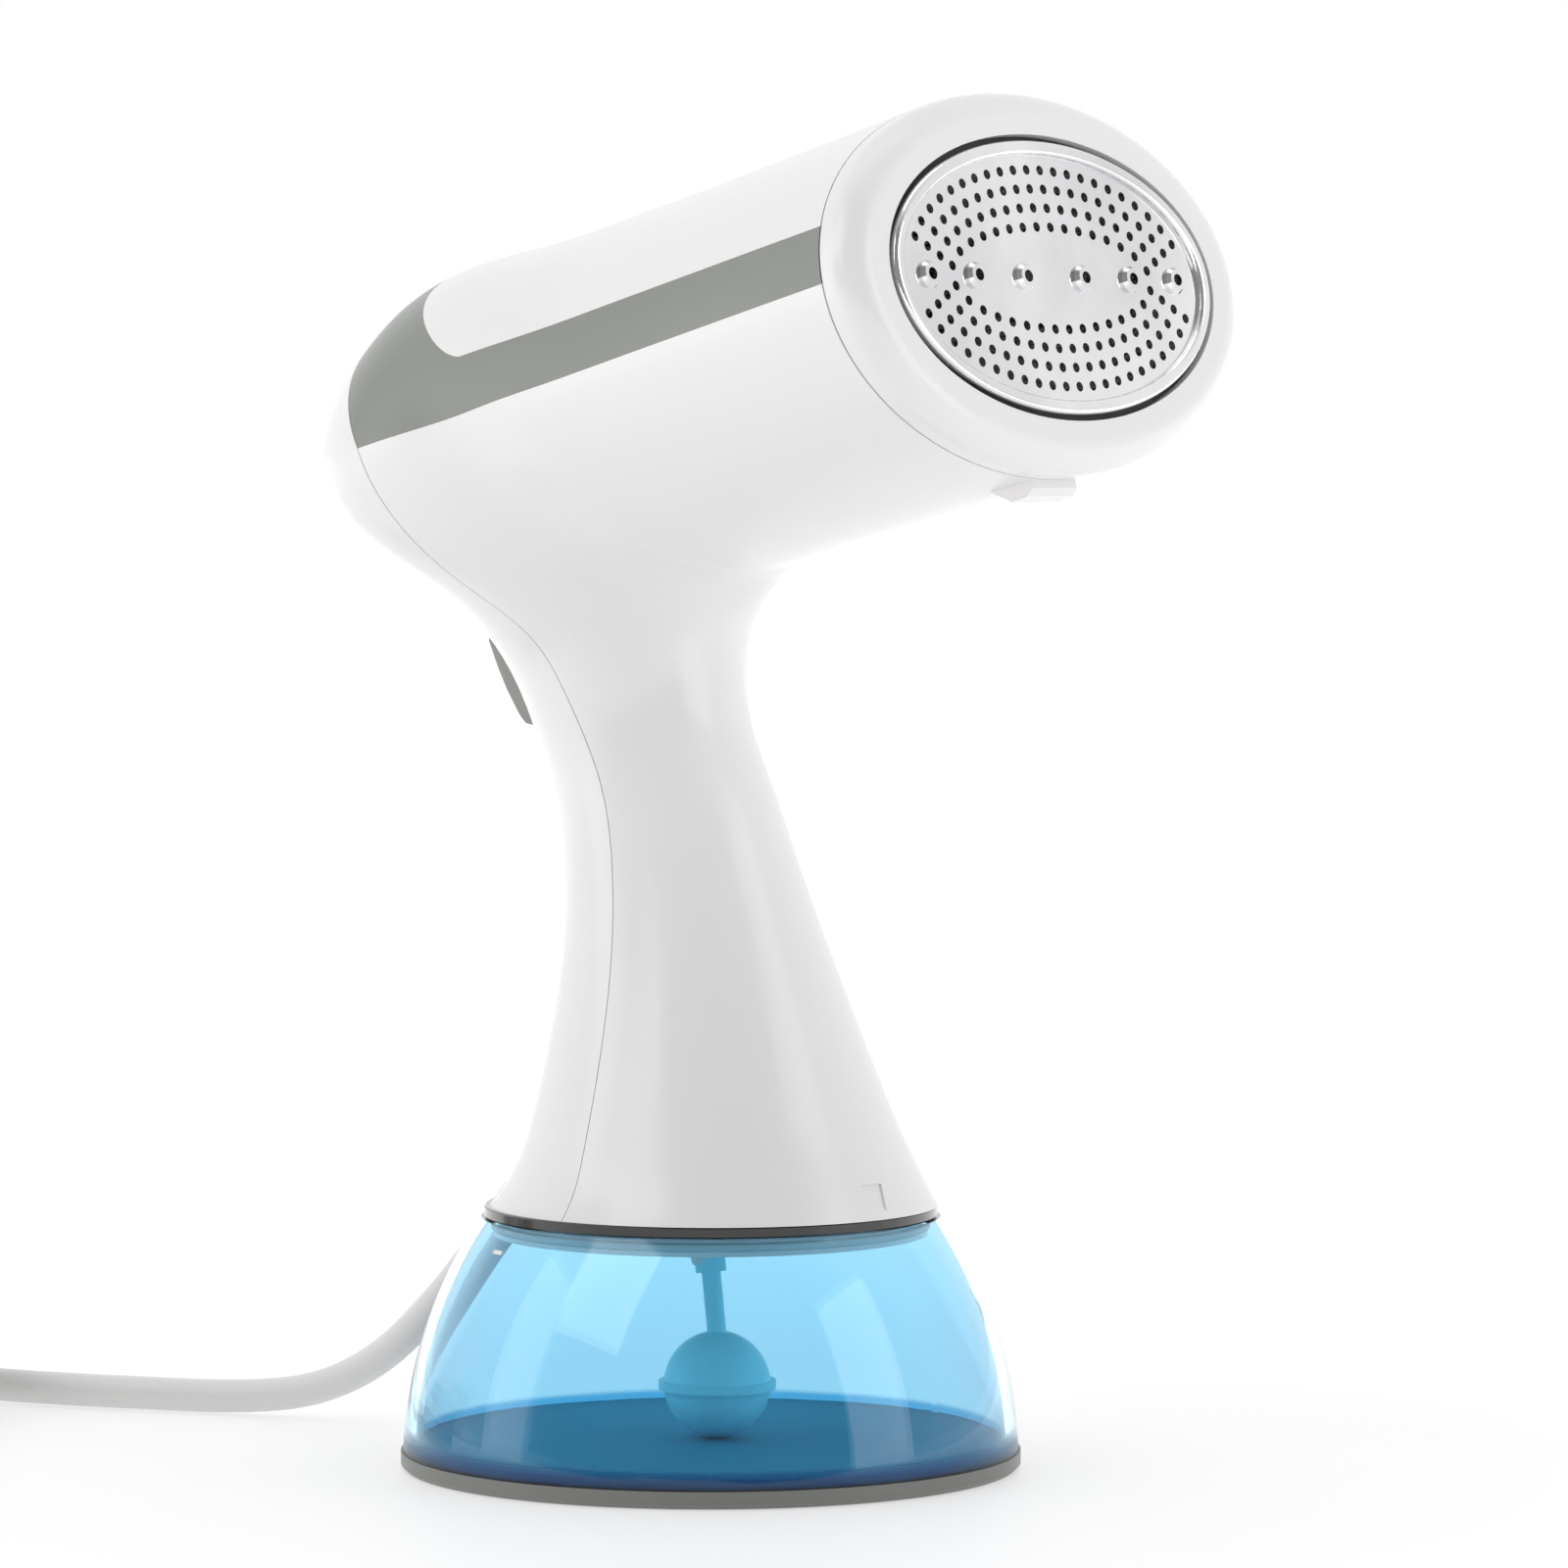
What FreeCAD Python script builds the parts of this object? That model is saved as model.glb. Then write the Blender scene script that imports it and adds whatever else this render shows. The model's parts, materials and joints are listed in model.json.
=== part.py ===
"""Handheld garment steamer on its detachable water tank, as a FreeCAD document in millimetres.

Frame: +Z up, origin at the centre of the tank's foot, +X the way the steam head points.
The head's pieces are drawn in the head's own frame: x across, y up, z forward out of the
steam plate, with z = 0 at the seam between barrel and bezel.
"""

import FreeCAD, Part
import math
import os
import Sketcher
from FreeCAD import Placement, Rotation, Vector

os.makedirs("parts", exist_ok=True)
doc = FreeCAD.newDocument("GarmentSteamer")

# ---------------------------------------------------------------- driving sizes, mm and degrees
SIZES = {
    # water tank and foot
    "FootRadius": 58.0,
    "FootHeight": 3.2,
    "TankHeight": 46.9,
    "TankMouthRadius": 43.0,
    "TankWall": 1.8,
    "TankBulge": 84.0,
    # collar and base of the housing
    "CollarRadius": 42.4,
    "CollarInnerRadius": 36.0,
    "CollarTop": 49.1,
    "PlugRadius": 40.5,
    "PlugBottom": 43.4,
    "SealRadius": 40.9,
    "SealInnerRadius": 39.2,
    "SealBottom": 44.3,
    "SealHeight": 1.7,
    "PortRadius": 4.2,
    "PortBore": 1.9,
    "PortFlange": 8.0,
    "PortX": -0.8,
    # pick-up tube and weighted ball
    "TubeRadius": 1.8,
    "TubeBore": 1.1,
    "BallRadius": 10.0,
    "BallRim": 11.0,
    "BallWall": 1.5,
    "BallHeight": 15.1,
    "BallX": 1.6,
    "SlugRadius": 6.0,
    # housing
    "Wall": 2.2,
    "SeamGap": 0.2,
    "ScrewSide": 15.0,
    "ScrewLevel": 66.0,
    "ScrewBack": -24.0,
    "HeadTilt": 13.7,
    "HeadX": 75.5,
    "HeadHeight": 218.6,
    "HeadHalfWidth": 53.7,
    "HeadHalfHeight": 35.15,
    "BarrelLength": 120.6,
    "TrimBand": 10.4,
    "TrimLean": 26.0,
    "TongueStart": 86.0,
    "TongueReach": 28.0,
    "TongueHalfWidth": 49.75,
    # bezel, steam plate, boiler
    "BezelDepth": 8.2,
    "BezelGap": 0.35,
    "BezelRound": 5.5,
    "GrooveHalfWidth": 44.4,
    "GrooveHalfHeight": 26.3,
    "RimHalfWidth": 43.3,
    "RimHalfHeight": 25.2,
    "PlateHalfWidth": 40.6,
    "PlateHalfHeight": 22.5,
    "PlateFront": 7.6,
    "PlateThickness": 1.2,
    "RimFront": 8.8,
    "HoleRadius": 0.9,
    "BoilerHalfWidth": 37.0,
    "BoilerHalfHeight": 19.5,
    "BoilerFront": 2.0,
    "BoilerBack": -28.0,
    "BoilerCover": 4.0,
    "ElementRadius": 3.2,
    "ElementHalfSpan": 17.0,
    "ShieldThickness": 3.0,
    # pump
    "PumpRadius": 13.0,
    "PumpBottom": 78.0,
    "PumpLength": 27.0,
    "PumpX": -5.0,
    "HoseRadius": 3.0,
    "HoseBore": 1.8,
    # trigger
    "TriggerHalfWidth": 6.5,
    "TriggerPinRadius": 1.25,
    "TriggerPinX": -44.5,
    "TriggerPinHeight": 157.0,
    "TriggerPinHalfLength": 9.6,
    "PinClearance": 0.05,
    # mains lead
    "LeadDiameter": 6.5,
    "ReliefRadius": 4.5,
    "ReliefLength": 30.0,
    "LeadExitX": -34.6,
    "LeadExitHeight": 62.0,
    "LeadDrop": 45.0,
    "CoilX": -185.0,
    "CoilY": -74.0,
    "CoilMeanRadius": 36.0,
    "CoilHalfWidth": 10.2,
    "CoilHeight": 24.6,
    "PlugLength": 34.0,
    "PlugWidth": 24.0,
    "PlugHeight": 15.0,
}

sheet = doc.addObject("Spreadsheet::Sheet", "Sizes")
for row, (word, number) in enumerate(SIZES.items(), start=1):
    sheet.set(f"A{row}", word)
    sheet.set(f"B{row}", str(number))
    sheet.setAlias(f"B{row}", word)
doc.recompute()


def size(word):
    """The number in the sheet's cell of that name."""
    return float(getattr(sheet, word))


def worked_out(text):
    """The value of an expression of the sheet's names, such as 'FootRadius - TankWall'."""
    value = doc.getObject("Scratch")
    if value is None:
        value = doc.addObject("App::FeaturePython", "Scratch")
        value.addProperty("App::PropertyFloat", "Value")
    value.setExpression("Value", bound(text))
    value.recompute()
    return value.Value


def bound(text):
    """The same expression as the document's expression engine reads it."""
    out, word = "", ""
    for letter in text + " ":
        if letter.isalnum() or letter == "_":
            word += letter
            continue
        out += f"Sizes.{word}" if word in SIZES else word
        out += letter
        word = ""
    return out.strip()


def bind(thing, **sizes):
    """Bind an object's properties to expressions of the sheet's names."""
    for name, text in sizes.items():
        thing.setExpression(name.replace("__", "."), bound(text))
    return thing


# ---------------------------------------------------------------- frames and small helpers
TILT = math.radians(size("HeadTilt"))
FORWARD = Vector(math.cos(TILT), 0, math.sin(TILT))
UPWARD = Vector(-math.sin(TILT), 0, math.cos(TILT))
ACROSS = Vector(0, 1, 0)
HEAD_CENTRE = Vector(size("HeadX"), 0, size("HeadHeight"))
HEAD = Placement(HEAD_CENTRE, Rotation(ACROSS, UPWARD, FORWARD, "XYZ"))

nodes = {}


def node(name, thing, placement=None):
    """Name a sub-part: its Label is the name of its file."""
    thing.Label = name
    if placement is not None:
        thing.Placement = placement
    nodes[name] = thing
    return thing


def feature(name, shape):
    """A part whose shape is worked out here from the sheet's sizes."""
    thing = doc.addObject("Part::Feature", name)
    thing.Shape = shape
    return thing


def cylinder(name, radius, length, at=("0", "0", "0"), placement=None):
    """A cylinder along z from the point at."""
    thing = bind(doc.addObject("Part::Cylinder", name), Radius=radius, Height=length)
    if placement is not None:
        thing.Placement = placement
        return thing
    return bind(thing, Placement__Base__x=at[0], Placement__Base__y=at[1], Placement__Base__z=at[2])


def box(name, low, high):
    """A box between two corners."""
    lengths = [f"({b}) - ({a})" for a, b in zip(low, high)]
    thing = doc.addObject("Part::Box", name)
    bind(thing, Length=lengths[0], Width=lengths[1], Height=lengths[2])
    return bind(thing, Placement__Base__x=low[0], Placement__Base__y=low[1], Placement__Base__z=low[2])


def cut(name, base, *tools):
    """The base less its tools."""
    thing = doc.addObject("Part::Cut", name)
    thing.Base = base
    thing.Tool = tools[0] if len(tools) == 1 else fuse(name + "_tools", *tools)
    return thing


def fuse(name, *shapes):
    """Several overlapping or touching shapes as one."""
    thing = doc.addObject("Part::MultiFuse", name)
    thing.Shapes = list(shapes)
    return thing


def elliptic(name, half_width, half_height, start, length):
    """An elliptic prism along z in the head's frame."""
    outline = doc.addObject("Part::Ellipse", name + "_outline")
    bind(outline, MajorRadius=half_width, MinorRadius=half_height, Placement__Base__z=start)
    prism = doc.addObject("Part::Extrusion", name)
    prism.Base = outline
    prism.DirMode = "Custom"
    prism.Dir = Vector(0, 0, 1)
    prism.Solid = True
    return bind(prism, LengthFwd=length)


def elliptic_ring(name, outer, inner, start, length):
    """An elliptic ring: outer and inner are (half width, half height)."""
    return cut(
        name,
        elliptic(name + "_outer", *outer, start, length),
        elliptic(name + "_inner", *inner, start, length),
    )


def rounded(name, base, radius, chosen):
    """Fillet the edges of a base for which chosen(edge) is true."""
    doc.recompute()
    thing = doc.addObject("Part::Fillet", name)
    thing.Base = base
    picked = [k for k, edge in enumerate(base.Shape.Edges, start=1) if chosen(edge)]
    blend = worked_out(radius)
    thing.Edges = [(k, blend, blend) for k in picked]
    return thing


def revolved(name, corners):
    """A body turned about Z from a closed profile.

    Each corner is (radius, height) and, for an arc from it to the next corner, the arc's
    radius: positive bulges to the right of the way round, negative to the left.
    """
    body = doc.addObject("PartDesign::Body", name)
    sketch = body.newObject("Sketcher::SketchObject", name + "_profile")
    plane = [o for o in body.Origin.OriginFeatures if o.Role == "XZ_Plane"][0]
    sketch.AttachmentSupport = [(plane, "")]
    sketch.MapMode = "FlatFace"
    draw_outline(sketch, corners)
    doc.recompute()
    turned = body.newObject("PartDesign::Revolution", name + "_turned")
    turned.Profile = sketch
    turned.ReferenceAxis = (sketch, ["V_Axis"])
    turned.Angle = 360
    return body


def draw_outline(sketch, corners):
    """A closed outline whose corners and arc radii are bound to the sheet."""
    places = [Vector(worked_out(c[0]), worked_out(c[1]), 0) for c in corners]
    count = len(corners)
    for k, corner in enumerate(corners):
        start, end = places[k], places[(k + 1) % count]
        if len(corner) == 2:
            sketch.addGeometry(Part.LineSegment(start, end), False)
        else:
            sketch.addGeometry(arc_between(start, end, worked_out(corner[2])), False)
    for k, corner in enumerate(corners):
        following = (k + 1) % count
        turned_over = len(corner) == 3 and worked_out(corner[2]) < 0
        first, last = (2, 1) if turned_over else (1, 2)
        nxt = corners[following]
        nxt_first = 2 if len(nxt) == 3 and worked_out(nxt[2]) < 0 else 1
        sketch.addConstraint(Sketcher.Constraint("Coincident", k, last, following, nxt_first))
        for kind, text in (("DistanceX", corner[0]), ("DistanceY", corner[1])):
            value = worked_out(text)
            index = sketch.addConstraint(Sketcher.Constraint(kind, -1, 1, k, first, value))
            if value != 0:
                sketch.setExpression(f"Constraints[{index}]", bound(text))
        if len(corner) == 3:
            value = abs(worked_out(corner[2]))
            index = sketch.addConstraint(Sketcher.Constraint("Radius", k, value))
            sketch.setExpression(f"Constraints[{index}]", f"abs({bound(corner[2])})")


def arc_between(start, end, radius):
    """The short arc between two points; its sign chooses the side it bulges to."""
    middle, chord = (start + end) * 0.5, end - start
    side = Vector(chord.y, -chord.x, 0).normalize()
    reach = math.sqrt(radius**2 - (chord.Length / 2) ** 2)
    sign = 1 if radius > 0 else -1
    top = middle + side * sign * (abs(radius) - reach)
    return Part.Arc(start, top, end)


def tube_path(points):
    """Straight runs joined by tangent arcs, each as large as its two runs allow."""
    edges, radii, start = [], [], points[0]
    for k in range(1, len(points) - 1):
        before, corner, after = points[k - 1], points[k], points[k + 1]
        to_before, to_after = before - corner, after - corner
        run = min(to_before.Length, to_after.Length)
        turn = math.pi - to_before.getAngle(to_after)
        setback = 0.45 * run
        radii.append(setback / math.tan(turn / 2))
        first = corner + to_before.normalize() * setback
        second = corner + to_after.normalize() * setback
        inward = (to_before + to_after).normalize()
        depth = radii[-1] / math.cos(turn / 2) - radii[-1]
        middle = corner + inward * depth
        edges.append(Part.LineSegment(start, first).toShape())
        edges.append(Part.Arc(first, middle, second).toShape())
        start = second
    edges.append(Part.LineSegment(start, points[-1]).toShape())
    return Part.Wire(edges), radii


def tube(points, radius):
    """A round solid along a path, and its bend radii."""
    path, radii = tube_path(points)
    start = (points[1] - points[0]).normalize()
    profile = Part.Wire(Part.makeCircle(radius, points[0], start))
    solid = path.makePipeShell([profile], True, False)
    return solid, path, radii


def prism(name, corners, half_width):
    """A flat outline in the XZ plane carried evenly to both sides of it."""
    ring = [Vector(x, -half_width, z) for x, z in corners]
    face = Part.Face(Part.makePolygon(ring + ring[:1]))
    return feature(name, face.extrude(Vector(0, 2 * half_width, 0)))


# ---------------------------------------------------------------- water tank and foot
def make_tank():
    """The clear wall of the tank, its clear floor, and the gray foot it stands on."""
    wall = "TankWall"
    node("tank_shell", revolved("tank_shell", [
        (f"FootRadius - 0.9 - {wall}", "FootHeight"),
        ("FootRadius - 0.4", "FootHeight", "TankBulge"),
        ("TankMouthRadius", "TankHeight"),
        (f"TankMouthRadius - {wall}", "TankHeight", f"{wall} - TankBulge"),
        (f"FootRadius - 0.9 - {wall}", f"FootHeight + {wall}"),
    ]))
    node("tank_floor", revolved("tank_floor", [
        ("0", "FootHeight"),
        (f"FootRadius - 0.95 - {wall}", "FootHeight"),
        (f"FootRadius - 0.95 - {wall}", f"FootHeight + {wall}"),
        ("0", f"FootHeight + {wall}"),
    ]))
    node("foot_base", revolved("foot_base", [
        ("0", "0"),
        ("FootRadius - 0.8", "0"),
        ("FootRadius", "0.8"),
        ("FootRadius", "FootHeight"),
        ("0", "FootHeight"),
    ]))


def make_collar():
    """The dark collar, the plug that fills the tank's mouth, its seal and the water port."""
    node("base_collar", revolved("base_collar", [
        ("CollarInnerRadius + 0.05", "TankHeight + 0.1"),
        ("CollarRadius - 0.3", "TankHeight + 0.1"),
        ("CollarRadius", "TankHeight + 0.4"),
        ("CollarRadius", "CollarTop - 0.3"),
        ("CollarRadius - 0.3", "CollarTop"),
        ("CollarInnerRadius + 0.05", "CollarTop"),
    ]))
    plate = revolved("plug_plate", [
        ("0", "PlugBottom"),
        ("PlugRadius", "PlugBottom"),
        ("PlugRadius", "SealBottom"),
        ("SealInnerRadius", "SealBottom"),
        ("SealInnerRadius", "SealBottom + SealHeight"),
        ("PlugRadius", "SealBottom + SealHeight"),
        ("PlugRadius", "TankHeight + 0.1"),
        ("CollarInnerRadius", "TankHeight + 0.1"),
        ("CollarInnerRadius", "CollarTop"),
        ("0", "CollarTop"),
    ])
    opening = cylinder("plug_opening", "PortRadius", "20", ("PortX", "0", "PlugBottom - 5"))
    node("base_plug", cut("base_plug", plate, opening))
    node("tank_seal", revolved("tank_seal", [
        ("SealInnerRadius", "SealBottom"),
        ("SealRadius - 0.4", "SealBottom"),
        ("SealRadius", "SealBottom + 0.4"),
        ("SealRadius", "SealBottom + SealHeight - 0.4"),
        ("SealRadius - 0.4", "SealBottom + SealHeight"),
        ("SealInnerRadius", "SealBottom + SealHeight"),
    ]))
    port = revolved("port_turned", [
        ("PortBore", "PlugBottom - 6"),
        ("PortBore + 1", "PlugBottom - 6"),
        ("PortBore + 1.4", "PlugBottom - 4.5"),
        ("PortBore + 1", "PlugBottom - 4"),
        ("PortBore + 1", "PlugBottom"),
        ("PortRadius", "PlugBottom"),
        ("PortRadius", "CollarTop"),
        ("PortFlange", "CollarTop"),
        ("PortFlange", "CollarTop + 1.6"),
        ("PortBore + 1", "CollarTop + 1.6"),
        ("PortBore + 1", "CollarTop + 9"),
        ("PortBore", "CollarTop + 9"),
    ])
    node("water_port", port, Placement(Vector(size("PortX"), 0, 0), Rotation()))


def make_pickup():
    """The soft tube from the port down to the ball, and the ball's two halves and slug."""
    top = Vector(size("PortX"), 0, size("PlugBottom") - 0.4)
    ball = Vector(size("BallX"), 0, size("BallHeight"))
    bottom = ball + Vector(0, 0, size("BallRadius") - 1.0)
    lean = (top - bottom).normalize()
    outside = Part.makeCylinder(size("TubeRadius") + 1.1, 7, top - lean * 7, lean)
    straight = Part.makeCylinder(size("TubeRadius"), (top - bottom).Length, bottom, lean)
    bore = Part.makeCylinder(size("TubeBore"), (top - bottom).Length + 2, bottom - lean, lean)
    soft = outside.fuse(straight).cut(bore).cut(solid_of("water_port"))
    node("pickup_tube", feature("pickup_tube", one_solid(soft)))

    placement = Placement(Vector(size("BallX"), 0, size("BallHeight")), Rotation())
    neck = "TubeRadius + 0.1"
    upper = revolved("ball_upper", [
        ("BallRadius - BallWall", "0"),
        ("BallRim", "0"),
        ("BallRim", "0.8"),
        ("sqrt(BallRadius^2 - 0.64)", "0.8", "BallRadius"),
        (neck, f"sqrt(BallRadius^2 - ({neck})^2)"),
        (neck, f"sqrt((BallRadius - BallWall)^2 - ({neck})^2)", "BallWall - BallRadius"),
    ])
    node("pickup_ball_upper", upper, placement)
    lower = revolved("ball_lower", [
        ("BallRim", "-0.8"),
        ("BallRim", "0"),
        ("BallRadius - BallWall", "0", "BallWall - BallRadius"),
        ("1", "-sqrt((BallRadius - BallWall)^2 - 1)"),
        ("1", "-sqrt(BallRadius^2 - 1)", "BallRadius"),
        ("sqrt(BallRadius^2 - 0.64)", "-0.8"),
    ])
    node("pickup_ball_lower", lower, placement)
    slug = revolved("slug", [
        ("2.4", "-4.5"),
        ("SlugRadius", "-4.5"),
        ("SlugRadius", "4"),
        ("2.4", "4"),
    ])
    node("pickup_weight", slug, placement)


# ---------------------------------------------------------------- the housing's outer form
# Level sections up the handle: height, centre x, half depth, half width.
HANDLE_SECTIONS = (
    (49.1, 1.0, 42.0, 41.8),
    (62.0, 1.0, 35.6, 35.2),
    (78.0, -0.9, 30.6, 29.8),
    (95.0, -3.6, 26.2, 24.9),
    (112.0, -7.6, 23.2, 21.4),
    (128.0, -12.9, 21.8, 19.6),
    (142.0, -18.7, 21.3, 20.7),
)
# Sections that fan about the throat between handle and barrel: angle above level, reach to
# the near and far side, half width, how far the width shifts outward, bluntness, and how far
# the near side spreads.
THROAT = Vector(19.6, 0, 153.1)
FAN_SECTIONS = (
    (0.0, 18.2, 67.7, 23.0, -0.05, 2.0, 0.14),
    (11.0, 18.3, 77.8, 32.5, 0.2, 2.12, 0.09),
    (22.0, 18.3, 95.0, 45.6, 0.35, 2.23, 0.05),
    (34.0, 17.9, 99.2, 49.7, 0.24, 2.17, 0.03),
    (46.0, 17.2, 97.7, 49.6, 0.13, 2.15, 0.04),
    (60.0, 16.3, 88.2, 50.9, 0.05, 2.1, 0.0),
    (90.0 - SIZES["HeadTilt"], 15.9, 84.9, 51.0, 0.0, 2.0, 0.0),
)
# Sections square to the barrel: distance behind the bezel seam, half height, half width.
BARREL_SECTIONS = (
    (57.0, 34.45, 51.5),
    (45.0, 34.55, 52.0),
    (32.0, 34.7, 52.5),
    (20.0, 34.85, 53.0),
    (10.0, 35.0, 53.35),
    (0.0, 35.15, 53.7),
)
SECTION_POINTS = 36


def section(centre, outward, half, width, shift=0.0, blunt=2.0, spread=0.0):
    """A closed smooth outline in the plane of outward and the Y axis."""
    points = []
    for k in range(SECTION_POINTS):
        angle = 2 * math.pi * k / SECTION_POINTS
        c, s = math.cos(angle), math.sin(angle)
        along = math.copysign(abs(c) ** (2 / blunt), c)
        across = math.copysign(abs(s) ** (2 / blunt), s)
        across *= 1 + shift * c + spread * min(c, 0) ** 2
        points.append(centre + outward * (half * along) + ACROSS * (width * across))
    curve = Part.BSplineCurve()
    curve.interpolate(Points=points, PeriodicFlag=True)
    return Part.Wire([curve.toShape()])


def housing_form(inset, overrun):
    """The housing as one solid, drawn in by inset; overrun carries both ends past the form."""
    outlines = []
    for k, (height, x, half, width) in enumerate(HANDLE_SECTIONS):
        level = height - overrun if k == 0 else height
        outlines.append(section(Vector(x, 0, level), Vector(-1, 0, 0), half - inset, width - inset))
    for angle, near, far, width, shift, blunt, spread in FAN_SECTIONS:
        turn = math.radians(angle)
        outward = Vector(-math.cos(turn), 0, math.sin(turn))
        near, far = near + inset, far - inset
        centre = THROAT + outward * ((near + far) / 2)
        half = (far - near) / 2
        outlines.append(section(centre, outward, half, width - inset, shift, blunt, spread))
    for behind, half, width in BARREL_SECTIONS:
        behind = -overrun if behind == 0 else behind
        outlines.append(section(HEAD_CENTRE - FORWARD * behind, UPWARD, half - inset, width - inset))
    return Part.makeLoft(outlines, True, False)


# The line in side view where the front and rear shells meet, from the collar to the trim.
SHELL_SEAM = (
    (1.2, 40.0), (0.8, 62.0), (-1.2, 86.0), (-4.2, 107.0), (-9.6, 127.0),
    (-17.8, 145.0), (-29.0, 165.0),
)


def across_all(corners):
    """A region of the side view carried through the whole width of the housing."""
    ring = [Vector(x, -90, z) for x, z in corners]
    return Part.Face(Part.makePolygon(ring + ring[:1])).extrude(Vector(0, 180, 0))


def side_view(back, up):
    """The point of the side view that is this far behind the bezel seam and above the axis."""
    place = HEAD_CENTRE - FORWARD * back + UPWARD * up
    return (place.x, place.z)


def rear_region(ahead):
    """Everything behind the shell seam and the trim's back edge, both moved ahead by a gap."""
    corner = side_view(size("BarrelLength"), 0)
    points = [Vector(x + ahead, -90, z) for x, z in SHELL_SEAM + (corner,)]
    seam = Part.BSplineCurve()
    seam.interpolate(points)
    top = side_view(size("BarrelLength") + size("TrimLean"), 90)
    high, far_high, far_low = (
        Vector(x + ahead, -90, z) for x, z in (top, (-140, 300), (-140, 40))
    )
    ring = [
        seam.toShape(),
        Part.makeLine(points[-1], high),
        Part.makeLine(high, far_high),
        Part.makeLine(far_high, far_low),
        Part.makeLine(far_low, points[0]),
    ]
    return Part.Face(Part.Wire(ring)).extrude(Vector(0, 180, 0))


def tongue_region():
    """The top cover's outline seen square to the barrel: straight sides and a round end."""
    start, half, reach = size("TongueStart"), size("TongueHalfWidth"), size("TongueReach")
    steps, blunt, beyond = 24, 3.0, 60.0
    end = []
    for k in range(steps + 1):
        angle = math.pi * k / steps
        c, t = math.cos(angle), math.sin(angle)
        across = math.copysign(abs(c) ** (2 / blunt), -c) * half
        end.append(Vector(across, beyond, -start - reach * t ** (2 / blunt)))
    bow = Part.BSplineCurve()
    bow.interpolate(end)
    front = [Vector(beyond, beyond, -start), Vector(beyond, beyond, 20)]
    front += [Vector(-beyond, beyond, 20), Vector(-beyond, beyond, -start)]
    ring = [bow.toShape(), Part.makeLine(end[-1], front[0])]
    ring += [Part.makeLine(p, q) for p, q in zip(front, front[1:])]
    ring.append(Part.makeLine(front[-1], end[0]))
    solid = Part.Face(Part.Wire(ring)).extrude(Vector(0, size("TrimBand") - beyond, 0))
    solid.Placement = HEAD
    return solid


def make_housing():
    """The four outer shells: front, rear, trim and top cover."""
    outer, inner = housing_form(0, 0), housing_form(size("Wall"), 1)
    skin = outer.cut(inner)
    rear = rear_region(0)
    above = across_all([
        side_view(-10, 0), side_view(-10, 90), side_view(160, 90), side_view(160, 0),
    ])
    ahead = skin.cut(rear_region(size("SeamGap")))
    front_shell = ahead.cut(above)
    upper = ahead.common(above)
    tongue = tongue_region()
    rear_shell = skin.common(rear)

    # openings: trigger slot and mains lead in the rear shell, catch socket in the front shell
    slot = Part.makeBox(42, 2 * size("TriggerHalfWidth") + 1.0, 23.4)
    slot.translate(Vector(-66, -size("TriggerHalfWidth") - 0.5, 136.6))
    lead_hole = Part.makeCylinder(size("ReliefRadius") + 0.1, 30, lead_place(-15), lead_direction())
    ears = trigger_ears().common(outer)
    pin_bore = pin_shape(0)
    rear_shell = rear_shell.cut(slot).fuse(ears).cut(pin_bore).cut(lead_hole)
    screws = housing_screw_shapes()
    rear_bosses, front_bosses, wells = screw_bosses()
    rear_shell = rear_shell.fuse(rear_bosses.common(outer)).cut(wells).cut(screws)
    front_shell = front_shell.fuse(front_bosses.common(outer)).cut(screws)
    front_shell = front_shell.cut(catch_shape()).cut(triangle_mark())
    for name, shape in (
        ("front_shell", front_shell),
        ("rear_shell", rear_shell),
        ("side_trim", upper.cut(tongue)),
        ("top_cover", upper.common(tongue)),
    ):
        node(name, feature(name, one_solid(shape)))


def triangle_mark():
    """A shallow sunk triangle at the foot of the handle's front, pointing down."""
    corners = ((39.5, -2.8, 55.2), (39.5, 2.8, 55.2), (42.0, 1.6, 50.3))
    ring = [Vector(*c) for c in corners]
    return Part.Face(Part.makePolygon(ring + ring[:1])).extrude(Vector(8, 0, 4))


def one_solid(shape):
    """The largest solid of a shape: slivers that a cut leaves behind are dropped."""
    return max(shape.Solids, key=lambda solid: solid.Volume)


# ---------------------------------------------------------------- trigger
def pin_shape(clearance):
    """The trigger's pin, across the handle."""
    half = size("TriggerPinHalfLength")
    start = Vector(size("TriggerPinX"), -half, size("TriggerPinHeight"))
    return Part.makeCylinder(size("TriggerPinRadius") + clearance, 2 * half, start, ACROSS)


def trigger_ears():
    """Two ears inside the rear shell that hold the trigger's pin."""
    inner = size("TriggerHalfWidth") + 0.5
    ears = []
    for y in (inner, -inner - 2.4):
        ears.append(Part.makeBox(16, 2.4, 9, Vector(-56.5, y, 152.5)))
    return ears[0].fuse(ears[1])


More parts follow.
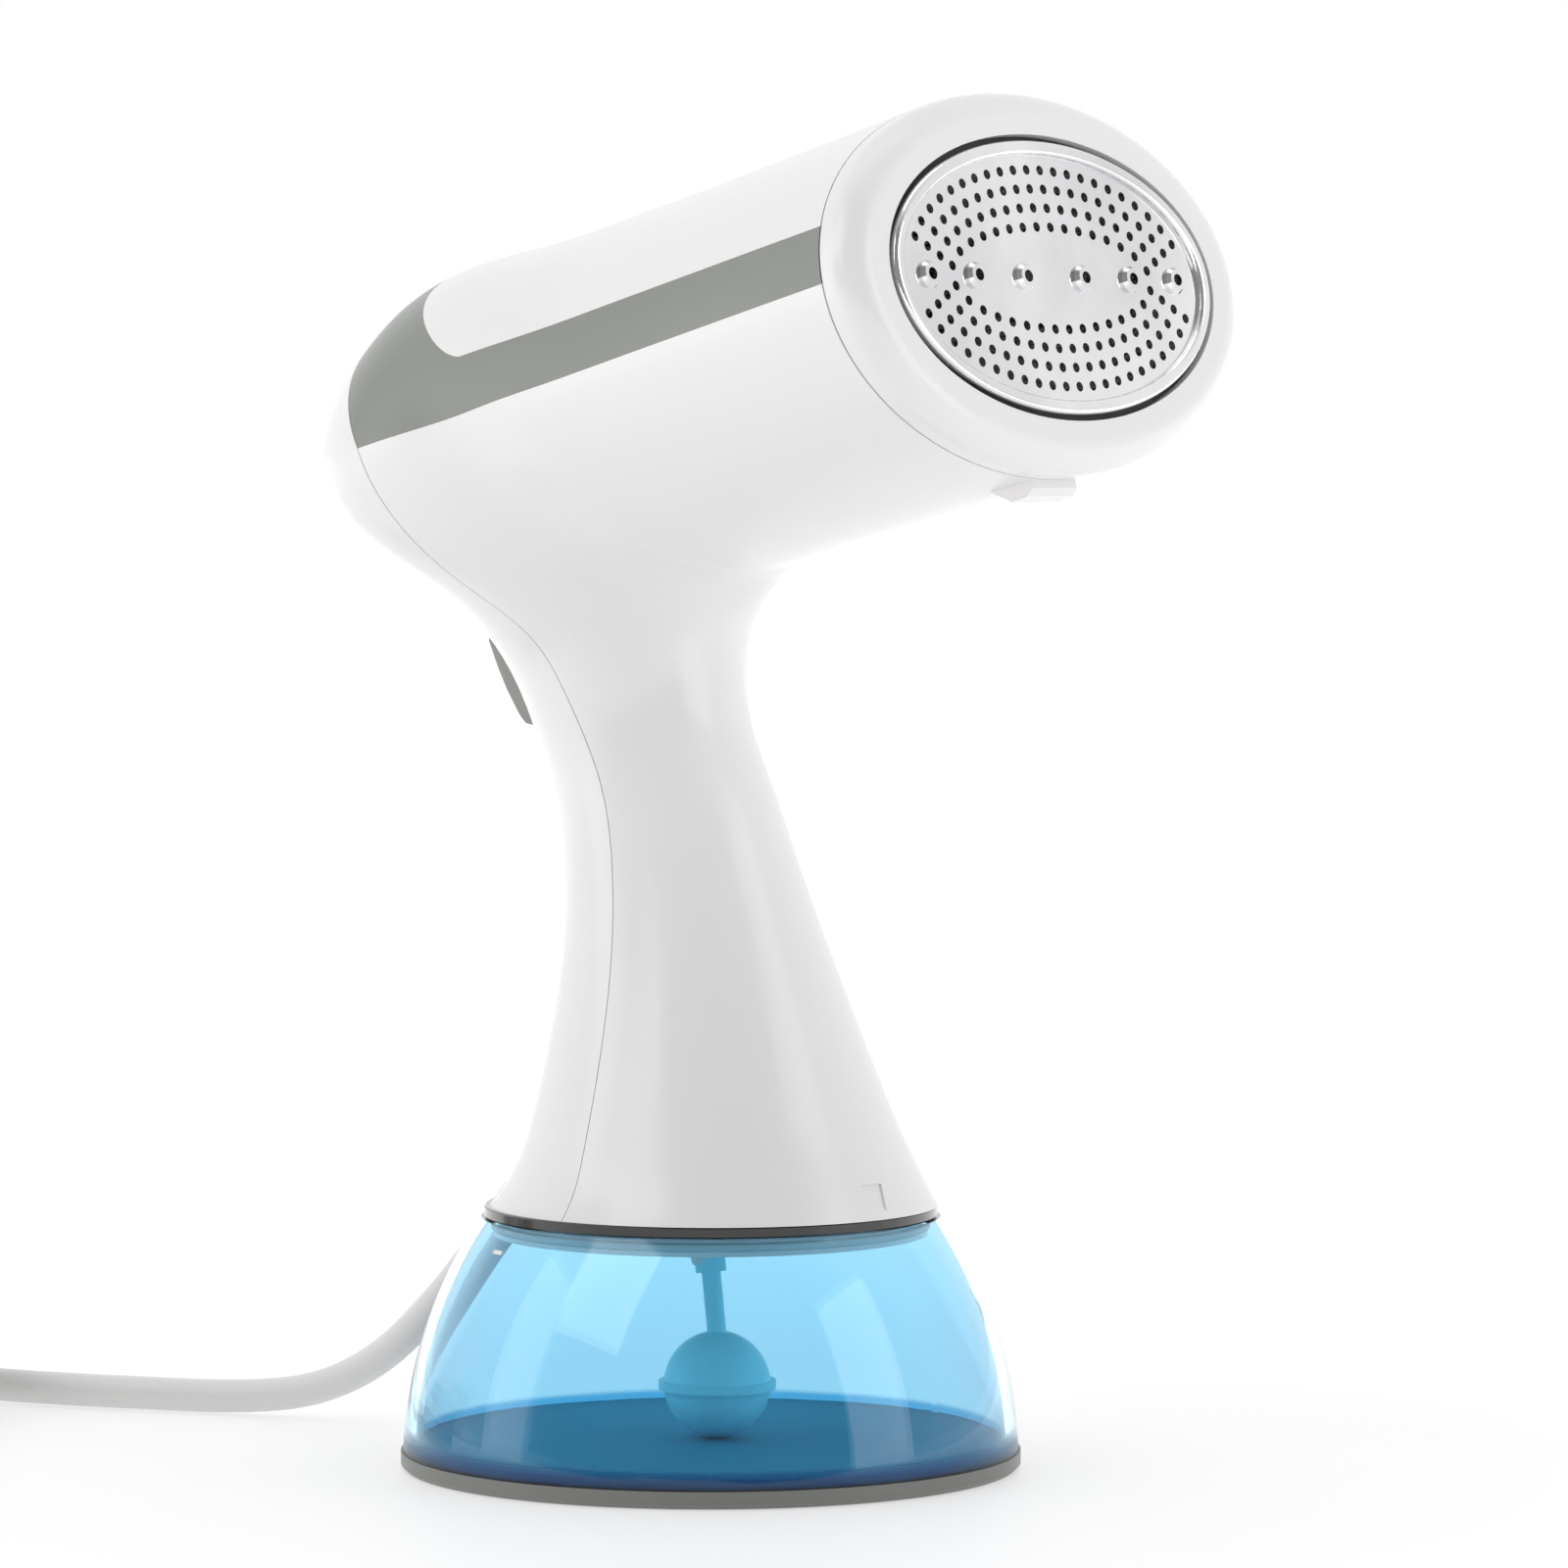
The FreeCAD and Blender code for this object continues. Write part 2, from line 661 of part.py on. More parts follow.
def make_trigger():
    """The gray trigger, its pin, spring and the microswitch it presses."""
    half = size("TriggerHalfWidth")
    outline = [
        (-51.6, 156.4), (-52.4, 153.4), (-49.9, 148.2), (-47.5, 144.0), (-45.4, 141.0),
        (-41.6, 138.0), (-36.4, 137.2), (-36.2, 146.0), (-41.0, 152.5), (-42.4, 159.6),
        (-46.8, 159.6), (-49.0, 156.4),
    ]
    lever = prism("trigger_lever", outline, half)
    bore = feature("trigger_bore", pin_shape(size("PinClearance")))
    body = cut("trigger_cut", lever, bore)
    outside = rounded("trigger", body, "1.6", lambda e: along_outer_edge(e, half))
    node("trigger", outside)
    node("trigger_pin", feature("trigger_pin", pin_shape(0)))
    node("microswitch", fuse(
        "microswitch",
        box("switch_body", ("-33.6", "-3.2", "133.5"), ("-23.6", "3.2", "147.5")),
        box("switch_button", ("-34.6", "-1.5", "138"), ("-33.4", "1.5", "141")),
        box("switch_terminals", ("-24", "-2", "135"), ("-19.2", "-1.4", "146")),
    ))
    arm = cut(
        "bracket_arm",
        box("bracket_web", ("-34.2", "3.2", "134.5"), ("-21", "5.2", "155")),
        box("bracket_notch", ("-40", "2", "130"), ("-33.6", "8", "147.6")),
    )
    seat = box("spring_seat", ("-34.2", "-4.2", "148.6"), ("-32.6", "3.2", "155"))
    node("switch_bracket", fuse("switch_bracket", arm, seat))
    node("trigger_spring", feature("trigger_spring", spring_shape()))


def along_outer_edge(edge, half):
    """True for the trigger's long outline edges that stand outside the handle."""
    ends = [v.Point for v in edge.Vertexes]
    if len(ends) != 2 or any(abs(abs(p.y) - half) > 0.01 for p in ends):
        return False
    if abs(ends[0].y - ends[1].y) > 0.01:
        return False
    return all(p.x < -44.0 and p.z < 156.6 and p.x - p.z * 0.55 < -119.8 for p in ends)


def spring_shape():
    """A small compression spring between the trigger and the switch bracket."""
    radius, wire, pitch, length = 2.2, 0.3, 1.3, 3.9
    coil = Part.makeHelix(pitch, length, radius)
    profile = Part.Wire(Part.makeCircle(wire, Vector(radius, 0, 0), Vector(0, 1, 0.1)))
    solid = Part.Wire(coil).makePipeShell([profile], True, True)
    solid.Placement = Placement(Vector(-34.6, 0, 152.0), Rotation(Vector(0, 0, 1), Vector(-1, 0, 0)))
    return solid


# ---------------------------------------------------------------- steam head
def make_bezel():
    """The white bezel, the dark seal in its groove and the small catch below it."""
    ring = elliptic_ring(
        "bezel_ring", ("HeadHalfWidth", "HeadHalfHeight"),
        ("GrooveHalfWidth", "GrooveHalfHeight"), "BezelGap", "BezelDepth - BezelGap",
    )
    widest = size("HeadHalfWidth")
    depth = size("BezelDepth")
    front = rounded(
        "bezel_front", ring, "BezelRound",
        lambda e: abs(e.BoundBox.ZMin - depth) < 0.01 and e.BoundBox.XMax > widest - 0.1
        and e.BoundBox.ZLength < 0.01,
    )
    skirt = elliptic_ring(
        "bezel_skirt", ("HeadHalfWidth - Wall - 0.9", "HeadHalfHeight - Wall - 0.7"),
        ("HeadHalfWidth - Wall - 2.6", "HeadHalfHeight - Wall - 2.4"), "-6", "6.5",
    )
    node("bezel", fuse("bezel", front, skirt), HEAD)
    node("plate_seal", elliptic_ring(
        "plate_seal", ("GrooveHalfWidth", "GrooveHalfHeight"), ("RimHalfWidth", "RimHalfHeight"),
        "BoilerFront", "PlateFront - BoilerFront - 1.2",
    ), HEAD)
    node("brush_catch", feature("brush_catch", catch_shape()))


def catch_shape():
    """A small wedge under the barrel that a clip-on brush snaps over."""
    y = -size("HeadHalfHeight")
    side = [
        (y - 2.4, -2.0), (y - 2.6, -6.0), (y + 0.4, -10.5), (y + 1.7, -10.5), (y + 1.7, -0.8),
        (y - 1.2, -0.8),
    ]
    ring = [Vector(-6.2, up, ahead) for up, ahead in side]
    wedge = Part.Face(Part.makePolygon(ring + ring[:1])).extrude(Vector(12.4, 0, 0))
    wedge.Placement = HEAD
    return wedge


def plate_holes():
    """Four rings of small holes that follow the plate's outline, clear of the nozzles."""
    places = []
    for ring, count in enumerate((50, 44, 38, 32)):
        inset = 2.6 + 3.5 * ring
        wide, tall = size("PlateHalfWidth") - inset, size("PlateHalfHeight") - inset
        for angle in even_angles(wide, tall, count, ring % 2):
            x, y = wide * math.cos(angle), tall * math.sin(angle)
            if all(math.hypot(x - nozzle, y) > 5.0 for nozzle in NOZZLE_PLACES):
                places.append((x, y))
    return places


def even_angles(wide, tall, count, offset):
    """Angles that are evenly spaced along an ellipse's length."""
    steps = 720
    lengths = [0.0]
    for k in range(steps):
        a, b = 2 * math.pi * k / steps, 2 * math.pi * (k + 1) / steps
        lengths.append(lengths[-1] + math.hypot(
            wide * (math.cos(b) - math.cos(a)), tall * (math.sin(b) - math.sin(a))))
    angles, k = [], 0
    for n in range(count):
        target = lengths[-1] * (n + 0.5 * offset) / count
        while lengths[k + 1] < target:
            k += 1
        part = (target - lengths[k]) / (lengths[k + 1] - lengths[k])
        angles.append(2 * math.pi * (k + part) / steps)
    return angles


NOZZLE_PLACES = (-34.0, -21.4, -8.0, 8.0, 21.4, 34.0)


def make_plate():
    """The chrome steam plate, its bright rim and the row of raised nozzles."""
    front, thick = size("PlateFront"), size("PlateThickness")
    blank = elliptic(
        "plate_blank", "PlateHalfWidth", "PlateHalfHeight", "PlateFront - PlateThickness",
        "PlateThickness",
    )
    doc.recompute()
    drills = [
        Part.makeCylinder(size("HoleRadius"), thick + 2, Vector(x, y, front - thick - 1))
        for x, y in plate_holes()
    ]
    drills += [
        Part.makeCylinder(2.5, thick + 2, Vector(x, 0, front - thick - 1)) for x in NOZZLE_PLACES
    ]
    plate = blank.Shape.cut(Part.makeCompound(drills))
    node("steam_plate", feature("steam_plate", plate), HEAD)
    rim = elliptic_ring(
        "rim_ring", ("RimHalfWidth", "RimHalfHeight"), ("PlateHalfWidth", "PlateHalfHeight"),
        "BoilerFront", "RimFront - BoilerFront",
    )
    top = size("RimFront")
    node("plate_rim", rounded(
        "plate_rim", rim, "0.9",
        lambda e: abs(e.BoundBox.ZMin - top) < 0.01 and e.BoundBox.ZLength < 0.01,
    ), HEAD)
    nozzles = []
    for x in NOZZLE_PLACES:
        outer = Part.makeCylinder(2.5, thick + 0.5, Vector(x, 0, front - thick))
        cone = Part.makeCone(2.5, 1.9, 0.7, Vector(x, 0, front + 0.5))
        hole = Part.makeCylinder(1.1, thick + 6, Vector(x, 0, front - thick - 2))
        nozzles.append(outer.fuse(cone).cut(hole).removeSplitter())
    node("steam_nozzles", feature("steam_nozzles", Part.makeCompound(nozzles)), HEAD)


def element_shape(extra):
    """The U-shaped tube of the heating element; extra lets the same form cut its channel."""
    span, back = size("ElementHalfSpan"), size("BoilerBack") - size("BoilerCover") - 7 - extra
    bend = size("BoilerFront") - 12 - span
    rest = Part.Arc(Vector(-span, 0, bend), Vector(0, 0, bend + span), Vector(span, 0, bend))
    path = Part.Wire([
        Part.makeLine(Vector(-span, 0, back), Vector(-span, 0, bend)),
        rest.toShape(),
        Part.makeLine(Vector(span, 0, bend), Vector(span, 0, back)),
    ])
    profile = Part.Wire(Part.makeCircle(size("ElementRadius"), Vector(-span, 0, back), Vector(0, 0, 1)))
    return path.makePipeShell([profile], True, False)


SCREW_PLACES = ((-30, 7.5), (30, 7.5), (-30, -7.5), (30, -7.5))


def screw(place, direction, shank, head_radius=2.8, radius=1.45, head=2.0):
    """A pan-head screw whose head sits at place and whose shank runs along direction."""
    top = Part.makeCylinder(head_radius, head, place - direction * head, direction)
    recess = Part.makeBox(2.6, 0.8, 1.0, Vector(-1.3, -0.4, 0))
    cross = recess.fuse(Part.makeBox(0.8, 2.6, 1.0, Vector(-0.4, -1.3, 0)))
    cross.Placement = Placement(place - direction * head, Rotation(Vector(0, 0, 1), direction))
    body = Part.makeCylinder(radius, shank, place, direction)
    return top.cut(cross).fuse(body)


def make_boiler():
    """Boiler block, its cover, heating element, screws, thermostat, fuse and heat shield."""
    back, front, cover = size("BoilerBack"), size("BoilerFront"), size("BoilerCover")
    block = elliptic(
        "boiler_blank", "BoilerHalfWidth", "BoilerHalfHeight", "BoilerBack",
        "BoilerFront - BoilerBack",
    )
    chamber = elliptic(
        "boiler_chamber", "BoilerHalfWidth - 3", "BoilerHalfHeight - 3", "BoilerFront - 5", "6",
    )
    cover_blank = elliptic(
        "cover_blank", "BoilerHalfWidth", "BoilerHalfHeight", "BoilerBack - BoilerCover",
        "BoilerCover",
    )
    flange = elliptic_ring(
        "boiler_flange", ("RimHalfWidth", "RimHalfHeight"),
        ("BoilerHalfWidth - 3", "BoilerHalfHeight - 3"), "BoilerFront - 3", "3",
    )
    doc.recompute()
    element = element_shape(0)
    ahead = Vector(0, 0, 1)
    screws = [screw(Vector(x, y, back - cover), ahead, 9) for x, y in SCREW_PLACES]
    inlet = Part.makeCylinder(1.6, 20, Vector(0, -9, back - cover - 8))
    tools = Part.makeCompound(screws + [element, inlet])
    shape = block.Shape.cut(chamber.Shape).fuse(flange.Shape).cut(tools)
    node("boiler_block", feature("boiler_block", shape.removeSplitter()), HEAD)
    spout = Part.makeCylinder(2.6, 8, Vector(0, -9, back - cover - 8))
    lid = cover_blank.Shape.fuse(spout).cut(tools)
    node("boiler_cover", feature("boiler_cover", lid), HEAD)
    node("heating_element", feature("heating_element", element), HEAD)
    node("boiler_screws", feature("boiler_screws", Part.makeCompound(screws)), HEAD)
    behind = back - cover
    can = Part.makeCylinder(7, 5, Vector(0, 8, behind - 5))
    tabs = [Part.makeBox(0.8, 4, 5, Vector(x, 6, behind - 10)) for x in (-4.4, 3.6)]
    thermostat = can.fuse(tabs[0]).fuse(tabs[1])
    node("thermostat", feature("thermostat", thermostat), HEAD)
    fuse_body = Part.makeCylinder(1.9, 10, Vector(5.5, -13.5, behind - 1.9), Vector(1, 0, 0))
    leads = Part.makeCylinder(0.5, 18, Vector(1.5, -13.5, behind - 1.9), Vector(1, 0, 0))
    node("thermal_fuse", feature("thermal_fuse", fuse_body.fuse(leads)), HEAD)
    node("heat_shield", elliptic_ring(
        "heat_shield", ("HeadHalfWidth - Wall - 1.6", "HeadHalfHeight - Wall - 1.4"),
        ("BoilerHalfWidth + 0.1", "BoilerHalfHeight + 0.1"), "BoilerBack + 8", "ShieldThickness",
    ), HEAD)


# ---------------------------------------------------------------- pump, hoses and electrics
def make_pump():
    """The solenoid pump in the handle, the web that carries it and its two hoses."""
    bottom, length, x = size("PumpBottom"), size("PumpLength"), size("PumpX")
    node("pump_coil", cut(
        "pump_coil",
        cylinder("coil_outer", "PumpRadius", "PumpLength", ("PumpX", "0", "PumpBottom")),
        cylinder("coil_bore", "5", "PumpLength + 2", ("PumpX", "0", "PumpBottom - 1")),
    ))
    core = revolved("pump_core", [
        ("1.6", "PumpBottom - 9"), ("2.6", "PumpBottom - 9"), ("2.6", "PumpBottom - 2"),
        ("5", "PumpBottom - 2"), ("5", "PumpBottom + PumpLength + 3"),
        ("2.6", "PumpBottom + PumpLength + 3"), ("2.6", "PumpBottom + PumpLength + 10"),
        ("1.6", "PumpBottom + PumpLength + 10"),
    ])
    node("pump_core", core, Placement(Vector(x, 0, 0), Rotation()))
    form = housing_form(size("Wall") + 0.2, 0)
    level = bottom + length - 5
    slab = Part.makeBox(100, 100, 3, Vector(-50, -50, level))
    hole = Part.makeCylinder(size("PumpRadius") + 1.6, 5, Vector(x, 0, level - 1))
    passage = Part.makeBox(6, 8.4, 5, Vector(-24.4, -10.2, level - 1))
    web = form.common(slab).cut(hole).cut(passage)
    node("pump_web", feature("pump_web", web))
    grommet = cut(
        "pump_grommet",
        cylinder("grommet_outer", "PumpRadius + 1.6", "7", ("PumpX", "0", "PumpBottom + PumpLength - 7")),
        cylinder("grommet_bore", "PumpRadius", "9", ("PumpX", "0", "PumpBottom + PumpLength - 8")),
    )
    node("pump_grommet", grommet)
    port = Vector(size("PortX"), 0, size("CollarTop"))
    low = [
        port + Vector(0, 0, 2.2), port + Vector(0, 0, 9), Vector(x, 0, bottom - 12),
        Vector(x, 0, bottom - 3),
    ]
    node("inlet_hose", slipped_hose("inlet_hose", low, "water_port", "pump_core"))
    spout = HEAD.multVec(Vector(0, -9, size("BoilerBack") - size("BoilerCover")))
    back = FORWARD * -1
    top = Vector(x, 0, bottom + length + 4)
    high = [
        top, top + Vector(0, 0, 14), Vector(-16, 0, 140), Vector(-16, 0, 166),
        spout + back * 30, spout + back * 1.5,
    ]
    node("outlet_hose", slipped_hose("outlet_hose", high, "pump_core", "boiler_cover"))


def slipped_hose(name, points, *ends):
    """A hose whose ends are slipped over two spigots."""
    radius, bore = size("HoseRadius") + 0.6, size("HoseBore")
    solid = tube(points, radius)[0].cut(tube(points, bore)[0])
    for end in ends:
        solid = solid.cut(solid_of(end))
    return feature(name, one_solid(solid))


def solid_of(name):
    """A finished node's shape where it stands."""
    doc.recompute()
    return nodes[name].Shape


def make_electrics():
    """Control board with its parts, cord clamp and the inner wires."""
    board = Part.makeBox(36, 1.6, 34, Vector(-18, 10, -104))
    holes = [Part.makeCylinder(1.6, 4, Vector(x, 9, -74), Vector(0, 1, 0)) for x in (-14, 14)]
    board = board.cut(holes[0]).cut(holes[1])
    node("control_board", feature("control_board", board), HEAD)
    relay = Part.makeBox(13, 11, 16, Vector(2, -1, -100))
    can = Part.makeCylinder(4.5, 11, Vector(-8, -1, -95), Vector(0, 1, 0))
    blocks = Part.makeBox(14, 7, 6, Vector(-15, 3, -85))
    node("board_parts", feature("board_parts", Part.makeCompound([relay, can, blocks])), HEAD)
    posts = [
        Part.makeCylinder(3.2, 40, Vector(x, 11.6, -74), Vector(0, 1, 0)) for x in (-14, 14)
    ]
    roof = housing_form(size("Wall") + 0.1, 0)
    trimmed = []
    for post in posts:
        post.Placement = HEAD
        trimmed.append(post.common(roof))
    node("board_posts", feature("board_posts", Part.makeCompound(trimmed)))
    clamp = Part.makeBox(12, 18, 6, Vector(-24, -9, 69.5))
    groove = Part.makeCylinder(3.2, 30, lead_place(-20), lead_direction())
    clamp = clamp.cut(groove)
    node("cord_clamp", feature("cord_clamp", clamp))
    node("inner_wires", feature("inner_wires", Part.makeCompound(wire_shapes())))


def wire_shapes():
    """Three insulated wires that rise from the lead, past the pump, to the control board."""
    wires = []
    for y in (-8.4, -6.0, -3.6):
        points = [
            Vector(-20.6, y, 76), Vector(-21.4, y, 90), Vector(-20.6, y, 112),
            Vector(-20.4, y - 2, 128), Vector(-17.6, y - 2.4, 148), Vector(-13.6, y - 3, 170),
            HEAD.multVec(Vector(1.46 * y - 0.8, -12, -81)), HEAD.multVec(Vector(1.46 * y - 0.8, 3, -82)),
        ]
        wires.append(tube(points, 0.9)[0])
    return wires


def housing_screw_shapes():
    """Two screws, one on each side of the lead, that draw the rear shell onto the front."""
    side, level, back = size("ScrewSide"), size("ScrewLevel"), size("ScrewBack")
    return Part.makeCompound([
        screw(Vector(back, y, level), Vector(1, 0, 0), 13, 2.9, 1.5, 2.0) for y in (side, -side)
    ])


def screw_bosses():
    """The rear and front bosses that the two screws join, and the wells their heads sit in."""
    side, level, back = size("ScrewSide"), size("ScrewLevel"), size("ScrewBack")
    meeting, ahead = back + 5.0, Vector(1, 0, 0)
    rear, front, wells = [], [], []
    for y in (side, -side):
        rear.append(Part.makeCylinder(4.5, 40 + 5.0, Vector(back - 40, y, level), ahead))
        front.append(Part.makeCylinder(3.6, 50, Vector(meeting + 0.1, y, level), ahead))
        wells.append(Part.makeCylinder(3.2, 40, Vector(back - 40, y, level), ahead))
    return Part.makeCompound(rear), Part.makeCompound(front), Part.makeCompound(wells)


# ---------------------------------------------------------------- mains lead
def lead_direction():
    """The way the lead leaves the handle: back and down."""
    drop = math.radians(size("LeadDrop"))
    return Vector(-math.cos(drop), 0, -math.sin(drop))


def lead_place(along):
    """A point on the lead's straight first run, measured from the handle's surface."""
    return Vector(size("LeadExitX"), 0, size("LeadExitHeight")) + lead_direction() * along


def lead_route():
    """The lead from its strain relief down to the floor and round to the coil."""
    level = size("LeadDiameter") / 2
    return [
        lead_place(size("ReliefLength") + 0.05), lead_place(size("ReliefLength") + 22),
        Vector(-86, -1, 12.5), Vector(-101, -4.5, 5.2), Vector(-117, -10.5, level),
        Vector(-134, -18, level), Vector(-151.5, -25.2, level), Vector(-168.5, -30.4, level),
        Vector(-184, -33.0, level),
    ]


def make_lead():
    """Strain relief, the free stretch of the lead, the put-away coil and the plug."""
    relief_length, radius = size("ReliefLength"), size("LeadDiameter") / 2
    start = lead_place(-7)
    cone = Part.makeCone(
        size("ReliefRadius"), radius + 0.45, relief_length + 7, start, lead_direction())
    flange = Part.makeCylinder(size("ReliefRadius") + 2.2, 2, lead_place(-9), lead_direction())
    grooves = []
    for k in range(5):
        place = lead_place(7 + 4.2 * k)
        ring = Part.makeCylinder(8, 1.4, place, lead_direction())
        keep = Part.makeCylinder(radius + 0.25, 1.4, place, lead_direction())
        grooves.append(ring.cut(keep))
    flange = flange.common(housing_form(size("Wall") + 0.15, 0))
    relief = cone.fuse(flange).cut(Part.makeCompound(grooves))
    relief = one_solid(relief.removeSplitter())
    node("strain_relief", feature("strain_relief", relief))
    solid, path, radii = tube(lead_route(), radius)
    node("power_cord", feature("power_cord", solid))
    print("lead: free length", round(path.Length, 1), "bend radii", [round(r, 1) for r in radii])
    print("lead: volume over section times length",
          round(solid.Volume / (math.pi * radius**2 * path.Length), 4))
    mean, half, top = size("CoilMeanRadius"), size("CoilHalfWidth"), size("CoilHeight")
    centre = Vector(size("CoilX"), size("CoilY"), 0)
    ring = Part.makeCylinder(mean + half, top, centre).cut(Part.makeCylinder(mean - half, top, centre))
    ring = ring.makeFillet(5.0, [e for e in ring.Edges if e.Length > 20 and e.BoundBox.ZLength < 0.01])
    joined = ring.cut(solid)
    node("cord_coil", feature("cord_coil", one_solid(joined)))
    tail = [centre + Vector(x, y, z) for x, y, z in (
        (-37.5, 17, top + radius + 0.05), (-35.6, 0, top + radius + 0.05),
        (-28, -13.5, top + radius + 0.9), (-15.5, -22.9, top + 5.4),
        (-1, -27, top + size("PlugHeight") / 2),
    )]
    end, _, tail_radii = tube(tail, radius)
    print("lead's end: bend radii", [round(r, 1) for r in tail_radii])
    node("cord_tail", feature("cord_tail", end))
    heading = (tail[-1] - tail[-2])
    heading = Vector(heading.x, heading.y, 0).normalize()
    make_plug(tail[-1], heading)


def make_plug(entry, heading):
    """A two-blade plug that lies on the coil, with its cord entering at its back."""
    length, width, height = size("PlugLength"), size("PlugWidth"), size("PlugHeight")
    body = Part.makeBox(length - 9, width, height, Vector(9, -width / 2, -height / 2))
    body = body.makeFillet(3.2, body.Edges)
    neck = Part.makeCone(size("LeadDiameter") / 2 + 0.6, 6.6, 10.5, Vector(0, 0, 0), Vector(1, 0, 0))
    cord_hole = Part.makeCylinder(size("LeadDiameter") / 2 + 0.05, 1.0, Vector(-0.5, 0, 0), Vector(1, 0, 0))
    body = body.fuse(neck).cut(cord_hole)
    blades = []
    for y in (-6.35, 6.35):
        blade = Part.makeBox(20, 1.5, 6.3, Vector(length - 4, y - 0.75, -3.15))
        hole = Part.makeCylinder(1.6, 4, Vector(length + 12.5, y - 2, 0), Vector(0, 1, 0))
        blades.append(blade.cut(hole))
    pins = Part.makeCompound(blades)
    place = Placement(entry, Rotation(Vector(1, 0, 0), heading))
    node("plug_body", feature("plug_body", body.cut(pins).removeSplitter()), place)
    node("plug_blades", feature("plug_blades", pins), place)


make_tank()
make_collar()
make_pickup()
make_housing()
make_trigger()
make_bezel()
make_plate()
make_boiler()
make_pump()
make_electrics()
node("housing_screws", feature("housing_screws", housing_screw_shapes()))
make_lead()

doc.recompute()
for thing in doc.Objects:
    if any(state in ("Invalid", "Error") for state in thing.State):
        raise SystemExit(f"{thing.Name} is {thing.State}")
for name, thing in nodes.items():
    shape = thing.Shape
    if shape.isNull() or not shape.isValid() or not shape.Solids:
        raise SystemExit(f"{name}: the shape is not a valid solid")
    shape.exportStep(f"parts/{name}.step")
print(len(nodes), "sub-parts written")
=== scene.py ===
"""Looks of the handheld garment steamer, in metres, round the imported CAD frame."""

import json
import math

import bmesh
import bpy
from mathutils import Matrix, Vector
from mathutils.bvhtree import BVHTree


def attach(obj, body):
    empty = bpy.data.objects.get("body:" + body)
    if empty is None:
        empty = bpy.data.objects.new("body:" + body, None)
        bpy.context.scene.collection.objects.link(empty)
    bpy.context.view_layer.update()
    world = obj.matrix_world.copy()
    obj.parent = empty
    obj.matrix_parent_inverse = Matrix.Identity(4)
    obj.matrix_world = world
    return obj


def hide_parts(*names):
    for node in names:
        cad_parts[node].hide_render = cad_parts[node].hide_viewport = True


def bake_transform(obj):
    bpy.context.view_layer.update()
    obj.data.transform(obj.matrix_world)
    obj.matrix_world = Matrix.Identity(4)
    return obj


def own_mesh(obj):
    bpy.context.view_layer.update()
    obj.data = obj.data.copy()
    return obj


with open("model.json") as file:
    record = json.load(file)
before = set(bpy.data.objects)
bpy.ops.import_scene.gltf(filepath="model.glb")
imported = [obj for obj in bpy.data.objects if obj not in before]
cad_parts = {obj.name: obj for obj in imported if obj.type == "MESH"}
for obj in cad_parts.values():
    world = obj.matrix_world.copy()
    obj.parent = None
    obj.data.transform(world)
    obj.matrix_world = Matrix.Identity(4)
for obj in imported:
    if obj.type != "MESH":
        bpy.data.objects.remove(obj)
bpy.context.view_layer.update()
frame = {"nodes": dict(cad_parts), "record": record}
nodes = frame["nodes"]
MM = 0.001

bpy.context.scene.view_settings.view_transform = "Standard"


# ---------------------------------------------------------------- camera, floor and light
CAMERA_AZIMUTH = math.radians(42.0)
CAMERA_HEIGHT = math.radians(2.71)
CAMERA_DISTANCE = 1.3338
CAMERA_LENS = 164.2
CAMERA_SENSOR = 36.0
CAMERA_TARGET = Vector((10.17, 9.16, 127.57)) * MM


def make_camera():
    """The camera at the photograph's place, level and looking at the middle of the object."""
    back = Vector((
        math.sin(CAMERA_AZIMUTH) * math.cos(CAMERA_HEIGHT),
        -math.cos(CAMERA_AZIMUTH) * math.cos(CAMERA_HEIGHT),
        math.sin(CAMERA_HEIGHT),
    ))
    data = bpy.data.cameras.new("camera")
    data.lens = CAMERA_LENS
    data.sensor_width = CAMERA_SENSOR
    data.clip_start, data.clip_end = 0.05, 30.0
    camera = bpy.data.objects.new("camera", data)
    bpy.context.scene.collection.objects.link(camera)
    camera.location = CAMERA_TARGET + back * CAMERA_DISTANCE
    camera.rotation_mode = "QUATERNION"
    camera.rotation_quaternion = (-back).to_track_quat("-Z", "Y")
    bpy.context.scene.camera = camera


def new_mesh_object(name, mesh):
    """A mesh as an object of the scene."""
    thing = bpy.data.objects.new(name, mesh)
    bpy.context.scene.collection.objects.link(thing)
    return thing


def from_bmesh(name, made, smooth=True):
    """A finished bmesh as an object."""
    mesh = bpy.data.meshes.new(name)
    made.normal_update()
    made.to_mesh(mesh)
    made.free()
    for face in mesh.polygons:
        face.use_smooth = smooth
    return new_mesh_object(name, mesh)


FLOOR_SIZE = 12.0
FLOOR_GAP = 0.0002
GLOW_NEAR, GLOW_FAR = 0.15, 0.8  # metres from the middle between which the floor brightens
GLOW_LOW, GLOW_HIGH = 0.52, 1.0


def make_floor():
    """A wide pale floor under the object that glows more strongly away from it."""
    made = bmesh.new()
    bmesh.ops.create_grid(made, x_segments=1, y_segments=1, size=FLOOR_SIZE)
    floor = from_bmesh("floor", made, smooth=False)
    floor.location = (0, 0, -FLOOR_GAP)
    material, tree, shader = new_material("floor_white")
    shader.inputs["Base Color"].default_value = (0.42, 0.42, 0.422, 1)
    shader.inputs["Roughness"].default_value = 0.5
    shader.inputs["Specular IOR Level"].default_value = 0.2
    shader.inputs["Emission Color"].default_value = (1, 1, 1, 1)
    place = add(tree, "ShaderNodeNewGeometry")
    reach = add(tree, "ShaderNodeVectorMath", operation="LENGTH")
    tree.links.new(place.outputs["Position"], reach.inputs[0])
    glow = ranged(tree, reach.outputs["Value"], GLOW_LOW, GLOW_HIGH, GLOW_NEAR, GLOW_FAR)
    tree.links.new(glow, shader.inputs["Emission Strength"])
    floor.data.materials.append(material)


